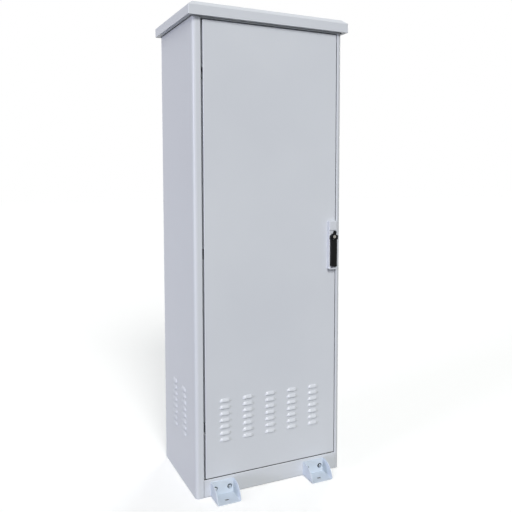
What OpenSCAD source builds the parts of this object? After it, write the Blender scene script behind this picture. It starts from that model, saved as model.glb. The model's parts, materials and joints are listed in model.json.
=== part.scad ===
/* [Cabinet] */
// Width of the body across its side panels
body_width = 700; // [660:10:900]
// Depth of the body from front face to rear face
body_depth = 500; // [460:10:800]
// Height of the roof skirt's lower edge above the floor
skirt_z = 2046; // [1700:1:2300]
// Thickness of the folded body and door sheet
sheet = 1.5; // [1.2:0.1:2]
// Outer radius of the front corner bend
corner_radius = 16; // [10:1:18]
// Width of the stile on the hinge side of the door
hinge_stile = 36; // [32:1:50]
// Width of the stile on the lock side of the door
lock_stile = 22; // [20:1:40]
// Height of the bottom rail under the door
rail_height = 79; // [76:1:110]

/* [Roof] */
// Overhang of the roof past the body
roof_overhang = 22; // [18:1:40]
// Height of the roof's upright skirt
skirt_height = 39; // [36:1:60]
// Run of the roof's sloped edge
slope_run = 22; // [14:1:30]
// Rise of the roof's sloped edge
slope_rise = 18; // [10:1:26]
// Width of the lip turned in under the skirt
lip_width = 18; // [8:1:18]

/* [Door] */
// Gap between the hinge stile and the door
hinge_gap = 8; // [7:0.5:12]
// Gap between the door and the lock stile
lock_gap = 4; // [3:0.5:6]
// Gap between the bottom rail and the door
bottom_gap = 3.5; // [3:0.5:6]
// Depth of the folded door
door_depth = 25; // [25:1:26]
// Distance of the hinge pin from the door's edge and from its face
hinge_inset = 11; // [10:0.5:12]

/* [Louvres] */
// Length of one door louvre
door_louvre = 50; // [36:1:60]
// Length of one side louvre
side_louvre = 66; // [40:1:76]
// Height of one louvre
louvre_height = 14; // [12:1:18]
// Rise of the louvre hood above the sheet
louvre_rise = 6.5; // [4:0.5:7]
// Spacing of the louvre rows
louvre_pitch = 29; // [24:1:34]
// Height of the middle of the door's louvre field
door_louvre_z = 333; // [320:1:400]
// Spacing of the door's louvre columns
door_column_pitch = 107; // [80:1:107]
// Height of the middle of the side louvre field
side_louvre_z = 340; // [320:1:400]
// Spacing of the two side louvre columns
side_column_pitch = 143; // [90:1:160]

/* [Handle] */
// Width of the handle housing
housing_width = 40; // [40:1:42]
// Projection of the housing from the door
housing_rise = 19; // [17:1:20]
// Height of the lock's axis above the floor
lock_z = 1117; // [900:1:1200]
// Length of the lever below the lock's axis
lever_length = 140; // [110:1:160]
// Width of the lever
lever_width = 31; // [24:0.5:32]

/* [Feet] */
// Half the distance between the two feet of one face
foot_offset = 223; // [180:1:226]
// Shift of both feet towards the lock side, negative for the hinge side
foot_shift = -10; // [-10:1:10]
// Width of an anchor foot
foot_width = 106; // [100:1:116]
// Projection of a foot from the body
foot_reach = 97; // [90:1:110]
// Height of a foot
foot_height = 66; // [60:1:70]
// Thickness of a foot's plate
foot_plate = 3; // [2.5:0.5:4]

/* [Rack] */
// Distance of a rack rail's face from the middle of the cabinet
rail_face_y = 150; // [120:1:160]
// Clear width between the rack rails
rack_opening = 450; // [448:1:452]
// Spacing of the rows of square holes across the rack
rack_hole_span = 465.1; // [464:0.1:466]

/* [Hidden] */
$fn = 48;
paint = [0.78, 0.8, 0.83];
foot_paint = [0.78, 0.83, 0.89];
zinc = [0.72, 0.73, 0.74];
black = [0.11, 0.12, 0.12];
rubber = [0.16, 0.16, 0.17];
felt = [0.86, 0.87, 0.85];

// Outline of the body and of its folds
half_width = body_width / 2;
half_depth = body_depth / 2;
front_y = -half_depth;
mid = sheet / 2;
fold = 2.5;
body_top = skirt_z + 34;
rear_flange = 25;
landing_y = front_y + 36;
landing_hinge = hinge_stile + 52;
landing_lock = lock_stile + 28;
landing_rail = 22;
seam = 0.3;

// Outline of the door
door_left = -half_width + hinge_stile + hinge_gap;
door_right = half_width - lock_stile - lock_gap;
door_bottom = rail_height + bottom_gap;
door_top = skirt_z - 10;
header_z = door_top + 4;
door_back = front_y + door_depth;
door_inner = front_y + sheet;
door_edge = 3;
door_corner = 6;
lip_hinge = 44;
lip_lock = 18;
gasket_width = 10;
door_middle = (door_left + door_right) / 2 - 13;
door_columns = 5;
door_rows = 7;
side_rows = 8;
side_middle_y = -7;
louvre_depth = (louvre_height * louvre_height - louvre_rise * louvre_rise) / (2 * louvre_rise);
louvre_radius = louvre_depth + louvre_rise;
slot_margin = 4;
filter_margin = 11;
filter_thick = 10;
filter_step = 1;
frame_wall = 2;
frame_lip = 12;
filter_half = [
  (door_columns - 1) / 2 * door_column_pitch + door_louvre / 2 + filter_margin,
  (door_rows - 1) / 2 * louvre_pitch + louvre_height / 2 + filter_margin
];
side_filter_half = [
  side_column_pitch / 2 + side_louvre / 2 + filter_margin,
  (side_rows - 1) / 2 * louvre_pitch + louvre_height / 2 + filter_margin
];
stiffener_depth = 16;
stiffener_half = 16;
stiffener_brim = 16;

// Hinges
hinge_x = door_left + hinge_inset;
hinge_y = front_y + hinge_inset;
hinge_heights = [door_bottom + 220, (door_bottom + door_top) / 2, door_top - 220];
hinge_pin = 3;
knuckle = 5.5;
knuckle_half = 10;
leaf_half = 24;
leaf_reach = 33;
hinge_plate = 3;
bracket_left = 12;
bracket_right = 11;
bracket_margin = 13;
bracket_screw = 16;
arm_half = 2;
running_fit = 0.05;
close_fit = 0.02;

// Handle and lock, measured from the lock's axis where it meets the door's face
handle_x = door_right - 22;
housing_top = 72;
housing_bottom = -lever_length - 13;
housing_wall = 3;
cap_bottom = 27;
cap_rise = housing_rise + 3.5;
ledge_rise = housing_rise + 4;
ledge_height = 9.5;
hub_radius = 13.5;
hub_shaft = 9;
hub_front = housing_rise + 16.5;
pivot_rise = housing_rise + 9;
ear_radius = 7;
yoke_half = lever_width / 2 + 3;
yoke_low = -13;
yoke_sweep = 16.6;
trunnion = 2.5;
cylinder_radius = 7;
plug_radius = 4.8;
cover_pivot = 9.2;
cover_radius = 9.4;
cover_pin = 1.2;
spindle = 9;
journal = 4;
screw_heights = [housing_top - 20, -lever_length + 10];
case_front = 3;
case_back = 18;
case_plate = 2;
case_half = [20, 36];
pillar = 3.5;
pillar_offset = 28;

// Rack and pinion that drives the rods
gear_module = 1.5;
gear_teeth = 16;
pressure = 20;
pitch_radius = gear_module * gear_teeth / 2;
tooth_pitch = PI * gear_module;
backlash = 0.25;
rod_front = 7.6;
rod_back = 15.4;
rod_thick = 4.5;
rack_root = pitch_radius + 1.9;
rack_start = -1.5 * tooth_pitch;
rack_end = 5.5 * tooth_pitch;
rod_overshoot = 1.8;
guide_spots = [0.3, 0.62, 0.94];
guide_half = 9;
guide_wall = 1.9;
guide_back = 18;

// Rack rails and their supports
unit_height = 44.45;
hole_rises = [6.35, 22.225, 38.1];
square_hole = 9.5;
rack_base = 105;
rack_units = floor((skirt_z - 150) / unit_height);
rail_bottom = rack_base - 10;
rail_top = rack_base + rack_units * unit_height + 10;
rail_flange = 42;
rail_web = 45;
rail_sheet = 2;
rail_outer = rack_opening / 2 + rail_flange;
support_height = 30;
support_tops = [rail_bottom + support_height, rail_top + 3];
rail_bolt = 3;

// Feet, base and roof
foot_bolt_z = 32;
foot_bolt_span = 66;
foot_bolt = 4;
foot_slot_width = 12;
foot_slot_length = 20;
foot_slot_y = 61;
foot_bend = 5;
foot_sink = 10;
washer_thick = 1.6;
washer_radius = 10.5;
bolt_head = 5.3;
nut_height = 6.5;
hex_radius = 7.5;
grommet_hole = 22;
grommet_pitch = [95, 66];
gland_size = [360, 180];
gland_y = 110;
rear_rail_foot = 34;
rear_rail_top = 8;
stud = 4;
stud_height = 34;
spacer_x = half_width - 70;
spacer_y = half_depth - 70;
roof_bolt = 4;
roof_half = [half_width + roof_overhang, half_depth + roof_overhang];
roof_top = skirt_z + skirt_height + slope_rise;
roof_corner = 3;
slope_length = norm([slope_run, slope_rise]);
vent_count = 7;
vent_pitch = 60;
vent_size = [8, 100];
vent_offset = 95;

// Rear panel and its screws
rear_screw_x = half_width - rear_flange / 2;
rear_panel_bottom = rail_height + 3;
rear_panel_top = body_top - 12;
rear_screw_count = 6;
rear_screw_margin = 40;
rear_screw_span = rear_panel_top - rear_panel_bottom - 2 * rear_screw_margin;
rear_screw_step = rear_screw_span / (rear_screw_count - 1);

// Outline extruded along X, with the outline's first axis along Y
module along_x(from, to) {
  translate([from, 0, 0]) rotate([90, 0, 90]) linear_extrude(to - from) children();
}

// Outline extruded along Y, with the outline's first axis along X
module along_y(from, to) {
  translate([0, to, 0]) rotate([90, 0, 0]) linear_extrude(to - from) children();
}

// Upright prism of an outline
module along_z(from, to) {
  translate([0, 0, from]) linear_extrude(to - from) children();
}

// Box between two corners
module box(low, high) {
  translate(low) cube(high - low);
}

// Cylinder along Y between two depths
module pin_y(radius, from, to) {
  translate([0, to, 0]) rotate([90, 0, 0]) cylinder(r = radius, h = to - from);
}

// Cylinder along X between two places
module pin_x(radius, from, to) {
  translate([from, 0, 0]) rotate([0, 90, 0]) cylinder(r = radius, h = to - from);
}

function unit(v) = v / norm(v);

// Section of a folded sheet along a middle line, with a round bend at each inner point
module folded(path, radii, thick = sheet) {
  last = len(path) - 1;
  for (i = [0:last - 1]) {
    along = unit(path[i + 1] - path[i]);
    across = [-along[1], along[0]] * thick / 2;
    start = path[i] + along * radii[i];
    end = path[i + 1] - along * radii[i + 1];
    polygon([start + across, start - across, end - across, end + across]);
  }
  for (i = [1:last - 1]) {
    before = unit(path[i] - path[i - 1]);
    after = unit(path[i + 1] - path[i]);
    outer = radii[i] + thick / 2;
    translate(path[i] + radii[i] * (after - before)) intersection() {
      difference() {
        circle(r = outer);
        circle(r = radii[i] - thick / 2);
      }
      polygon([[0, 0], -after * outer, (before - after) * outer, before * outer]);
    }
  }
}

// Rectangle with four round corners
module rounded_rect(low, high, radius) {
  translate([low[0] + radius, low[1]]) square([high[0] - low[0] - 2 * radius, high[1] - low[1]]);
  translate([low[0], low[1] + radius]) square([high[0] - low[0], high[1] - low[1] - 2 * radius]);
  for (x = [low[0] + radius, high[0] - radius], y = [low[1] + radius, high[1] - radius]) {
    translate([x, y]) circle(r = radius);
  }
}

// Rectangle whose two corners on its lower edge are round
module soft_front(low, high, radius) {
  translate([low[0] + radius, low[1]]) square([high[0] - low[0] - 2 * radius, high[1] - low[1]]);
  translate([low[0], low[1] + radius]) square([high[0] - low[0], high[1] - low[1] - radius]);
  for (x = [low[0] + radius, high[0] - radius]) {
    translate([x, low[1] + radius]) circle(r = radius);
  }
}

// Block with round front edges and round corners, between two corners
module pressed_block(low, high, edge, corner) {
  intersection() {
    along_z(low[2], high[2]) soft_front([low[0], low[1]], [high[0], high[1]], edge);
    translate([high[0], 0, 0]) rotate([0, -90, 0]) linear_extrude(high[0] - low[0])
      soft_front([low[2], low[1]], [high[2], high[1]], edge);
    along_y(low[1], high[1]) rounded_rect([low[0], low[2]], [high[0], high[2]], corner);
  }
}

// Curved wall of a louvre hood, seen in section
module hood_ring() {
  difference() {
    circle(r = louvre_radius);
    circle(r = louvre_radius - sheet);
  }
}

// Pressed louvre hood on a sheet that faces -Y, open below, with ball-shaped closed ends
module louvre_hood(length) {
  straight = length / 2 - louvre_height;
  intersection() {
    translate([0, louvre_depth, -louvre_height / 2]) {
      along_x(-straight, straight) intersection() {
        hood_ring();
        translate([-louvre_radius, 0]) square(louvre_radius);
      }
      for (side = [[straight, -90], [-straight, 180]]) {
        translate([side[0], 0, 0]) rotate([0, 0, side[1]]) rotate_extrude(angle = 90) intersection() {
          hood_ring();
          square(louvre_radius);
        }
      }
    }
    box([-length, -2 * louvre_rise, -louvre_height], [length, mid, louvre_height]);
  }
}

// Slot through the sheet behind a louvre hood
module louvre_slot(length) {
  half = length / 2 - louvre_height + slot_margin;
  box([-half, -sheet / 3, -louvre_height / 2], [half, 2 * sheet, louvre_height / 2 - slot_margin]);
}

// Places children at each louvre of the door
module at_door_louvres() {
  for (i = [0:door_columns - 1], j = [0:door_rows - 1]) {
    x = door_middle + (i - (door_columns - 1) / 2) * door_column_pitch;
    z = door_louvre_z + (j - (door_rows - 1) / 2) * louvre_pitch;
    translate([x, front_y, z]) children();
  }
}

// Places children at each louvre of the left side
module at_side_louvres() {
  for (side = [-1, 1], j = [0:side_rows - 1]) {
    y = side_middle_y + side * side_column_pitch / 2;
    z = side_louvre_z + (j - (side_rows - 1) / 2) * louvre_pitch;
    translate([-half_width, y, z]) rotate([0, 0, -90]) children();
  }
}

// Folded side sheet for the left: rear flange, side, round corner, stile, rebate and seal landing
module side_panel(stile, landing) {
  left = -half_width;
  difference() {
    union() {
      along_z(0, body_top - sheet) folded(
        [
          [left + rear_flange, half_depth - mid], [left + mid, half_depth - mid],
          [left + mid, front_y + mid], [left + stile - mid, front_y + mid],
          [left + stile - mid, landing_y + mid], [left + landing, landing_y + mid]
        ],
        [0, fold, corner_radius - mid, fold, fold, 0]
      );
      at_side_louvres() louvre_hood(side_louvre);
    }
    at_side_louvres() louvre_slot(side_louvre);
  }
}

module left_side_panel() {
  color(paint) side_panel(hinge_stile, landing_hinge);
}

module right_side_panel() {
  color(paint) mirror([1, 0, 0]) side_panel(lock_stile, landing_lock);
}

// Places children at the side louvre field, on the left panel's inner face and facing as the door does
module at_side_field() {
  translate([-half_width + sheet, side_middle_y, side_louvre_z]) rotate([0, 0, -90]) children();
}

// Filter mat of a given half size that lies a step behind a face at Y = 0
module filter_mat(half) {
  color(felt) along_y(filter_step, filter_step + filter_thick) square(2 * half, center = true);
}

// Frame that stands on a face at Y = 0 and holds a filter mat of a given half size
module filter_frame(half) {
  back = filter_step + filter_thick + seam;
  outer = half + [frame_wall, frame_wall];
  opening = half - [frame_lip, frame_lip];
  color(zinc) difference() {
    along_y(0, back + sheet) square(2 * outer, center = true);
    along_y(-1, back) square(2 * half + 2 * [seam, seam], center = true);
    along_y(back - 1, back + sheet + 1) square(2 * opening, center = true);
  }
}

module side_filter_left() {
  at_side_field() filter_mat(side_filter_half);
}

module side_filter_right() {
  mirror([1, 0, 0]) at_side_field() filter_mat(side_filter_half);
}

module side_filter_frame_left() {
  at_side_field() filter_frame(side_filter_half);
}

module side_filter_frame_right() {
  mirror([1, 0, 0]) at_side_field() filter_frame(side_filter_half);
}

// Bottom rail between the stiles, with a rebate and an upright seal landing behind the door
module bottom_front_rail() {
  left = -half_width + hinge_stile + seam;
  right = half_width - lock_stile - seam;
  color(paint) difference() {
    union() {
      along_x(left, right) folded(
        [[landing_y - 2, mid], [front_y + mid, mid], [front_y + mid, rail_height - mid],
          [landing_y, rail_height - mid]],
        [0, fold, fold, 0]
      );
      along_x(-half_width + landing_hinge + seam, half_width - landing_lock - seam) folded(
        [[landing_y - 6, rail_height - mid], [landing_y + mid, rail_height - mid],
          [landing_y + mid, rail_height + landing_rail]],
        [0, fold, 0]
      );
    }
    at_foot_bolts(-1) pin_y(foot_bolt + seam, -1, sheet + 1);
    rod_keeper(-1, rail_height - 2 * sheet, rail_height + sheet);
  }
}

// Rail under the rear panel
module bottom_rear_rail() {
  reach = half_width - rear_flange;
  back = half_depth - mid;
  color(paint) difference() {
    along_x(-reach, reach) folded(
      [[half_depth - rear_rail_foot, mid], [back, mid], [back, rail_height - mid],
        [back - rear_rail_top, rail_height - mid]],
      [0, fold, fold, 0]
    );
    at_foot_bolts(1) pin_y(foot_bolt + seam, -1, sheet + 1);
  }
}

// Header above the door, with a rebate and a seal landing that hangs behind the door
module front_header() {
  left = -half_width + hinge_stile + seam;
  right = half_width - lock_stile - seam;
  color(paint) difference() {
    union() {
      along_x(left, right) folded(
        [[front_y + mid, body_top - sheet], [front_y + mid, header_z + mid],
          [landing_y, header_z + mid]],
        [0, fold, 0]
      );
      along_x(-half_width + landing_hinge + seam, half_width - landing_lock - seam) folded(
        [[landing_y - 6, header_z + mid], [landing_y + mid, header_z + mid],
          [landing_y + mid, header_z - landing_rail]],
        [0, fold, 0]
      );
    }
    rod_keeper(1, header_z - sheet, header_z + 2 * sheet);
  }
}

// Square hole that a lock rod shoots into
module rod_keeper(side, from, to) {
  near = side * (rack_root - 2);
  far = side * (rack_root + rod_thick + 2);
  box([handle_x + min(near, far), front_y + rod_front - 2, from],
    [handle_x + max(near, far), front_y + rod_back + 2, to]);
}

module rear_panel() {
  reach = half_width - 4;
  color(paint) along_y(half_depth, half_depth + sheet)
    rounded_rect([-reach, rear_panel_bottom], [reach, rear_panel_top], 5);
}

// Button-headed screws with a hex socket that hold the rear panel
module rear_panel_screws() {
  head = 2.6;
  color(zinc) for (side = [-1, 1], i = [0:rear_screw_count - 1]) {
    z = rear_panel_bottom + rear_screw_margin + i * rear_screw_step;
    translate([side * rear_screw_x, half_depth + sheet, z]) difference() {
      pin_y(5, 0, head);
      translate([0, head + 1, 0]) rotate([90, 0, 0]) cylinder(r = 2, h = 2.5, $fn = 6);
    }
  }
}

// Tray that closes the bottom, with an opening for cables
module base_pan() {
  left = -half_width + sheet;
  front = landing_y + sheet + seam;
  back = half_depth - rear_rail_foot - sheet;
  rim = 25;
  margin = 18;
  color(paint) difference() {
    box([left, front, 0], [-left, back, rim]);
    box([left + sheet, front + sheet, sheet], [-left - sheet, back - sheet, rim + 1]);
    box([-gland_size[0] / 2 + margin, gland_y - gland_size[1] / 2 + margin, -1],
      [gland_size[0] / 2 - margin, gland_y + gland_size[1] / 2 - margin, sheet + 1]);
  }
}

// Places children at each cable grommet
module at_grommets() {
  for (i = [-1:1], j = [-0.5, 0.5]) {
    translate([i * grommet_pitch[0], gland_y + j * grommet_pitch[1], sheet]) children();
  }
}

// Plate over the cable opening
module gland_plate() {
  color(zinc) difference() {
    along_z(sheet, sheet + 2) rounded_rect(
      [-gland_size[0] / 2, gland_y - gland_size[1] / 2], [gland_size[0] / 2, gland_y + gland_size[1] / 2], 6
    );
    at_grommets() translate([0, 0, -1]) cylinder(r = grommet_hole, h = 4);
  }
}

// Rubber grommets with a closed stepped membrane
module cable_grommets() {
  color(rubber) at_grommets() rotate_extrude() polygon([
    [0, 14], [9, 14], [12, 4], [grommet_hole + 4, 4], [grommet_hole + 4, 2], [grommet_hole - seam, 2],
    [grommet_hole - seam, 0], [10, 0], [7.5, 12], [0, 12]
  ]);
}

module earth_stud() {
  color(zinc) translate([half_width - 80, landing_y + 60, sheet]) {
    cylinder(r = stud, h = stud_height);
    cylinder(r = hex_radius, h = nut_height, $fn = 6);
    translate([0, 0, 10]) cylinder(r = 9, h = washer_thick);
    translate([0, 0, 10 + washer_thick]) cylinder(r = hex_radius, h = nut_height, $fn = 6);
  }
}

// Tray that closes the top, with slots that let warm air out under the roof
module top_pan() {
  rim = 22;
  low = body_top - sheet;
  inner = half_width - sheet - seam;
  color(paint) difference() {
    union() {
      along_z(low, body_top) rounded_rect(
        [-half_width + 0.5, front_y + 0.5], [half_width - 0.5, half_depth - 0.5], corner_radius - 0.5
      );
      for (side = [-1, 1]) {
        box([min(side * inner, side * (inner - sheet)), landing_y + 5, low - rim],
          [max(side * inner, side * (inner - sheet)), half_depth - rear_flange, low + mid]);
      }
      box([-half_width + rear_flange + 5, half_depth - 3 * sheet, low - rim],
        [half_width - rear_flange - 5, half_depth - 2 * sheet, low + mid]);
      box([-half_width + hinge_stile + 5, front_y + 2 * sheet, low - rim],
        [half_width - lock_stile - 5, front_y + 3 * sheet, low + mid]);
    }
    for (side = [-1, 1], i = [0:vent_count - 1]) {
      x = (i - (vent_count - 1) / 2) * vent_pitch;
      y = side * vent_offset;
      box([x, y, low - 1] - [vent_size[0], vent_size[1], 0] / 2,
        [x, y, body_top + 1] + [vent_size[0], vent_size[1], 0] / 2);
    }
    at_roof_spacers() translate([0, 0, -sheet - 1]) cylinder(r = roof_bolt + seam, h = sheet + 2);
  }
}

// Places children on the top pan where the roof stands
module at_roof_spacers() {
  for (x = [-spacer_x, spacer_x], y = [-spacer_y, spacer_y]) {
    translate([x, y, body_top]) children();
  }
}

// Section of the roof from skirt to flat top, drawn in by a sheet's thickness or by nothing
module roof_outline(half, inset) {
  drop = inset * (slope_length - slope_rise) / slope_run;
  shift = inset * (slope_length - slope_run) / slope_rise;
  shoulder = skirt_z + skirt_height - drop;
  flat = half - slope_run - shift;
  polygon([
    [-half + inset, skirt_z + inset], [half - inset, skirt_z + inset], [half - inset, shoulder],
    [flat, roof_top - inset], [-flat, roof_top - inset], [-half + inset, shoulder]
  ]);
}

// Solid hull of the roof, drawn in by a distance
module roof_block(inset) {
  far = roof_half - [inset, inset];
  intersection() {
    along_y(-roof_half[1], roof_half[1]) roof_outline(roof_half[0], inset);
    along_x(-roof_half[0], roof_half[0]) roof_outline(roof_half[1], inset);
    along_z(skirt_z, roof_top) rounded_rect(-far, far, roof_corner - inset / 2);
  }
}

// Hat-shaped rain roof with a lip turned in under its skirt
module roof_canopy() {
  color(paint) difference() {
    roof_block(0);
    roof_block(sheet);
    box([-roof_half[0] + lip_width, -roof_half[1] + lip_width, skirt_z - 1],
      [roof_half[0] - lip_width, roof_half[1] - lip_width, skirt_z + 2 * sheet]);
  }
}

module roof_spacers() {
  tall = roof_top - sheet - body_top;
  color(zinc) at_roof_spacers() difference() {
    cylinder(r = 14, h = tall);
    translate([0, 0, -1]) cylinder(r = roof_bolt + running_fit, h = 16);
  }
}

// Hex bolts driven from inside the cabinet
module roof_bolts() {
  color(zinc) at_roof_spacers() {
    translate([0, 0, -sheet - bolt_head]) cylinder(r = hex_radius, h = bolt_head, $fn = 6);
    translate([0, 0, -sheet - 1]) cylinder(r = roof_bolt, h = sheet + 13);
  }
}

// Upright rack rail with square holes, for the front left
module rack_rail() {
  color(zinc) difference() {
    along_z(rail_bottom, rail_top) folded(
      [
        [-rail_outer + rail_flange, -rail_face_y + rail_sheet / 2],
        [-rail_outer + rail_sheet / 2, -rail_face_y + rail_sheet / 2],
        [-rail_outer + rail_sheet / 2, -rail_face_y + rail_web]
      ],
      [0, fold, 0], rail_sheet
    );
    for (unit_row = [0:rack_units - 1], rise = hole_rises) {
      z = rack_base + unit_row * unit_height + rise;
      translate([-rack_hole_span / 2, -rail_face_y + 1, z])
        cube([square_hole, 6, square_hole], center = true);
    }
    at_rail_bolts() pin_x(rail_bolt + seam, -4, 4);
  }
}

// Places children at the bolts of the front left rail
module at_rail_bolts() {
  for (top = support_tops) {
    translate([-rail_outer, -rail_face_y + 28, top - support_height / 2]) children();
  }
}

module rack_rail_front_left() {
  rack_rail();
}

module rack_rail_front_right() {
  mirror([1, 0, 0]) rack_rail();
}

module rack_rail_rear_left() {
  mirror([0, 1, 0]) rack_rail();
}

module rack_rail_rear_right() {
  mirror([0, 1, 0]) mirror([1, 0, 0]) rack_rail();
}

// Channel from the side panel to the rack rails, for the left
module rail_support(top) {
  half = rail_sheet / 2;
  outer = -half_width + sheet + half;
  inner = -rail_outer - half;
  color(zinc) difference() {
    along_y(landing_y + 20, half_depth - rear_flange) folded(
      [[outer, top - support_height], [outer, top - half],
        [inner, top - half], [inner, top - support_height]],
      [0, fold, fold, 0], rail_sheet
    );
    for (mirrored = [0, 1]) {
      mirror([0, mirrored, 0]) at_rail_bolts() pin_x(rail_bolt + seam, -4, 4);
    }
  }
}

module rail_support_bottom_left() {
  rail_support(support_tops[0]);
}

module rail_support_bottom_right() {
  mirror([1, 0, 0]) rail_support(support_tops[0]);
}

module rail_support_top_left() {
  rail_support(support_tops[1]);
}

module rail_support_top_right() {
  mirror([1, 0, 0]) rail_support(support_tops[1]);
}

// Hex bolts that hold the rack rails to their supports
module rail_bolts() {
  color(zinc) for (a = [0, 1], b = [0, 1]) {
    mirror([a, 0, 0]) mirror([0, b, 0]) at_rail_bolts() {
      pin_x(rail_bolt, -10, rail_sheet + 1);
      translate([rail_sheet, 0, 0]) rotate([0, 90, 0]) cylinder(r = 5.5, h = 4, $fn = 6);
      translate([-rail_sheet - 5, 0, 0]) rotate([0, 90, 0]) cylinder(r = 5.5, h = 5, $fn = 6);
    }
  }
}

// Places children at the foot bolts of one face, where side is -1 for the front and 1 for the rear
module at_foot_bolts(side) {
  for (x = [-foot_offset, foot_offset], dx = [-foot_bolt_span / 2, foot_bolt_span / 2]) {
    translate([foot_shift + x + dx, side * half_depth, foot_bolt_z]) rotate([0, 0, side < 0 ? 0 : 180])
      children();
  }
}

// Side view of an anchor foot, with a long round edge from its top to its toe
module foot_profile() {
  curve = foot_height + foot_sink;
  heel = -foot_reach + sqrt(curve * curve - foot_sink * foot_sink);
  intersection() {
    union() {
      translate([heel, -foot_sink]) circle(r = curve, $fn = 96);
      translate([heel, 0]) square([-heel, foot_height]);
    }
    translate([-foot_reach, 0]) square([foot_reach, foot_height]);
  }
}

// Anchor foot folded from one plate, which stands against a face at Y = 0 and reaches to -Y
module anchor_foot() {
  half = foot_width / 2;
  middle = half - foot_plate / 2;
  round = foot_bend + foot_plate / 2;
  color(foot_paint) difference() {
    intersection() {
      union() {
        along_y(-foot_reach, 0) folded(
          [[-middle, foot_height], [-middle, foot_plate / 2],
            [middle, foot_plate / 2], [middle, foot_height]],
          [0, foot_bend, foot_bend, 0], foot_plate
        );
        along_y(-foot_plate, 0) soft_front([-half, 0], [half, foot_height], round);
      }
      along_x(-half, half) foot_profile();
    }
    for (x = [-foot_bolt_span / 2, foot_bolt_span / 2]) {
      translate([x, 0, foot_bolt_z]) pin_y(foot_bolt + seam, -foot_plate - 1, 1);
    }
    translate([0, -foot_slot_y, 0]) foot_slot();
  }
}

// Slot for the floor anchor, long side across the foot
module foot_slot() {
  half = (foot_slot_length - foot_slot_width) / 2;
  along_z(-1, foot_plate + 1) union() {
    square([2 * half, foot_slot_width], center = true);
    for (x = [-half, half]) {
      translate([x, 0]) circle(d = foot_slot_width);
    }
  }
}

module anchor_foot_front_left() {
  translate([foot_shift - foot_offset, front_y, 0]) anchor_foot();
}

module anchor_foot_front_right() {
  translate([foot_shift + foot_offset, front_y, 0]) anchor_foot();
}

module anchor_foot_rear_left() {
  translate([foot_shift - foot_offset, half_depth, 0]) rotate([0, 0, 180]) anchor_foot();
}

module anchor_foot_rear_right() {
  translate([foot_shift + foot_offset, half_depth, 0]) rotate([0, 0, 180]) anchor_foot();
}

// Hex bolts with their nuts inside the rails
module anchor_bolts() {
  outer = -foot_plate - washer_thick;
  color(zinc) for (side = [-1, 1]) {
    at_foot_bolts(side) {
      translate([0, outer, 0]) rotate([90, 0, 0]) cylinder(r = hex_radius, h = bolt_head, $fn = 6);
      pin_y(foot_bolt, outer - 1, sheet + nut_height + 1.5);
      translate([0, sheet + nut_height, 0]) rotate([90, 0, 0])
        cylinder(r = hex_radius, h = nut_height, $fn = 6);
    }
  }
}

module anchor_washers() {
  color(zinc) for (side = [-1, 1]) {
    at_foot_bolts(side) difference() {
      pin_y(washer_radius, -foot_plate - washer_thick, -foot_plate);
      pin_y(foot_bolt + 0.2, -foot_plate - 2 * washer_thick, 0);
    }
  }
}

// Places children at a hinge's pin axis, at one of the three heights
module at_hinge(index) {
  translate([hinge_x, hinge_y, hinge_heights[index]]) children();
}

// Places children at the screws of a hinge bracket, measured from the pin
module at_bracket_screws() {
  for (z = [-bracket_screw, bracket_screw]) {
    translate([0, landing_y - hinge_y - hinge_plate, z]) children();
  }
}

// Fixed half of a hinge: plate on the seal landing, arm and knuckle
module hinge_bracket(index) {
  back = landing_y - hinge_y;
  color(zinc) at_hinge(index) difference() {
    union() {
      box([-bracket_left, back - hinge_plate, -knuckle_half - bracket_margin],
        [bracket_right, back, knuckle_half + bracket_margin]);
      box([-arm_half, 0, -knuckle_half], [arm_half, back - mid, knuckle_half]);
      translate([0, 0, -knuckle_half]) cylinder(r = knuckle, h = 2 * knuckle_half);
    }
    translate([0, 0, -knuckle_half - 1]) cylinder(r = hinge_pin + running_fit, h = 2 * knuckle_half + 2);
  }
}

module hinge_bracket_lower() {
  hinge_bracket(0);
}

module hinge_bracket_middle() {
  hinge_bracket(1);
}

module hinge_bracket_upper() {
  hinge_bracket(2);
}

module hinge_screws() {
  color(zinc) for (i = [0:2]) {
    at_hinge(i) at_bracket_screws() difference() {
      pin_y(4, -2.2, 0);
      translate([0, -1, 0]) rotate([90, 0, 0]) cylinder(r = 2, h = 2, $fn = 6);
    }
  }
}

// Moving half of a hinge: leaf on the door's inner face and two knuckles
module hinge_leaf(index) {
  leaf = door_inner - hinge_y;
  gap = knuckle_half + 0.4;
  color(zinc) at_hinge(index) difference() {
    union() {
      box([-knuckle, leaf, -leaf_half], [leaf_reach, leaf + hinge_plate, leaf_half]);
      for (z = [-leaf_half, gap]) {
        translate([0, 0, z]) {
          cylinder(r = knuckle, h = leaf_half - gap);
          box([-knuckle, leaf + mid, 0], [knuckle, 0, leaf_half - gap]);
        }
      }
    }
    translate([0, 0, -leaf_half - 1]) cylinder(r = hinge_pin + close_fit, h = 2 * leaf_half + 2);
  }
}

module hinge_leaf_lower() {
  hinge_leaf(0);
}

module hinge_leaf_middle() {
  hinge_leaf(1);
}

module hinge_leaf_upper() {
  hinge_leaf(2);
}

// Hinge pins with a flat head on top
module hinge_pins() {
  color(zinc) for (i = [0:2]) {
    at_hinge(i) {
      translate([0, 0, -leaf_half]) cylinder(r = hinge_pin, h = 2 * leaf_half + 1);
      translate([0, 0, leaf_half]) cylinder(r = hinge_pin + 1.5, h = 1.5);
    }
  }
}

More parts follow.
